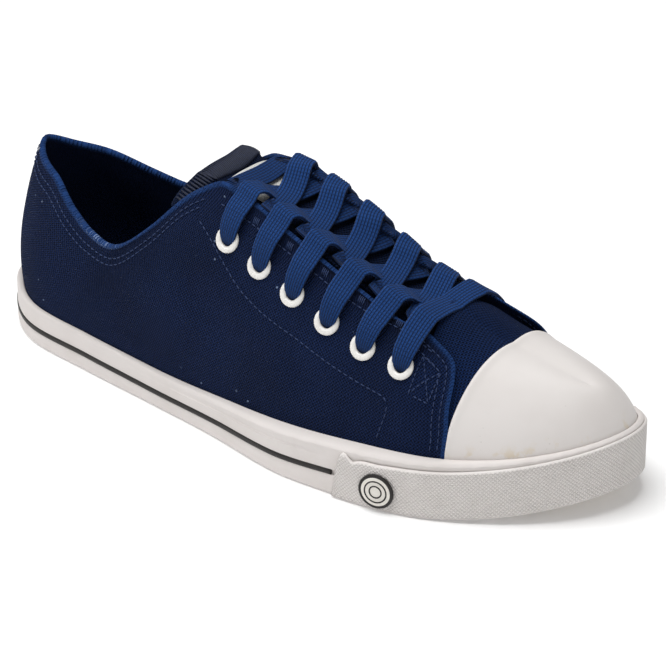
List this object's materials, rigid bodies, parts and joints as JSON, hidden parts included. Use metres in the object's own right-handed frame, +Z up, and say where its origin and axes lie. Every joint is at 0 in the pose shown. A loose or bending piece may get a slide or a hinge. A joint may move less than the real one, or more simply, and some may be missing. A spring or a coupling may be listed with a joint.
{
  "type": "canvas sneaker",
  "caption": "Right low-top lace-up canvas sneaker with a hollow upper, a smooth rubber toe cap, a wrapped rubber band with a dark stripe, a textured toe bumper and a round side badge.",
  "frame": {"origin": "on the floor, under the middle of the shoe's bounding box", "axes": "+X to the toe, +Y to the inner (medial) side, +Z up from the floor"},
  "size_m": [0.2852, 0.0992, 0.0974],
  "materials": {
    "outsole_rubber": "matte moulded rubber",
    "foxing_rubber": "matte calendered rubber band",
    "stripe_rubber": "matte dark rubber",
    "bumper_rubber": "matte rubber with a fine knurl",
    "badge_rubber": "smooth rubber with a dark rim",
    "cap_rubber": "smooth matte rubber",
    "canvas": "plain-woven dark navy canvas",
    "tongue_canvas": "plain-woven dark navy canvas",
    "label_tape": "woven tape",
    "insole_cloth": "brushed cotton over foam",
    "eyelet_enamel": "white enamel",
    "lace_braid": "flat braided cord"
  },
  "bodies": {
    "root": {"outsole": "outsole_rubber", "foxing": "foxing_rubber", "foxing_stripe": "stripe_rubber", "toe_bumper": "bumper_rubber", "side_badge": "badge_rubber", "insole": "insole_cloth", "upper": "canvas", "toe_cap": "cap_rubber", "tongue": "tongue_canvas", "tongue_label": "label_tape", "eyelet_lateral_1": "eyelet_enamel", "eyelet_lateral_2": "eyelet_enamel", "eyelet_lateral_3": "eyelet_enamel", "eyelet_lateral_4": "eyelet_enamel", "eyelet_lateral_5": "eyelet_enamel", "eyelet_lateral_6": "eyelet_enamel", "eyelet_medial_1": "eyelet_enamel", "eyelet_medial_2": "eyelet_enamel", "eyelet_medial_3": "eyelet_enamel", "eyelet_medial_4": "eyelet_enamel", "eyelet_medial_5": "eyelet_enamel", "eyelet_medial_6": "eyelet_enamel", "lace_bar": "lace_braid", "lace_crossing_1": "lace_braid", "lace_crossing_2": "lace_braid", "lace_crossing_3": "lace_braid", "lace_crossing_4": "lace_braid", "lace_crossing_5": "lace_braid", "lace_top": "lace_braid"}
  },
  "joints": []
}
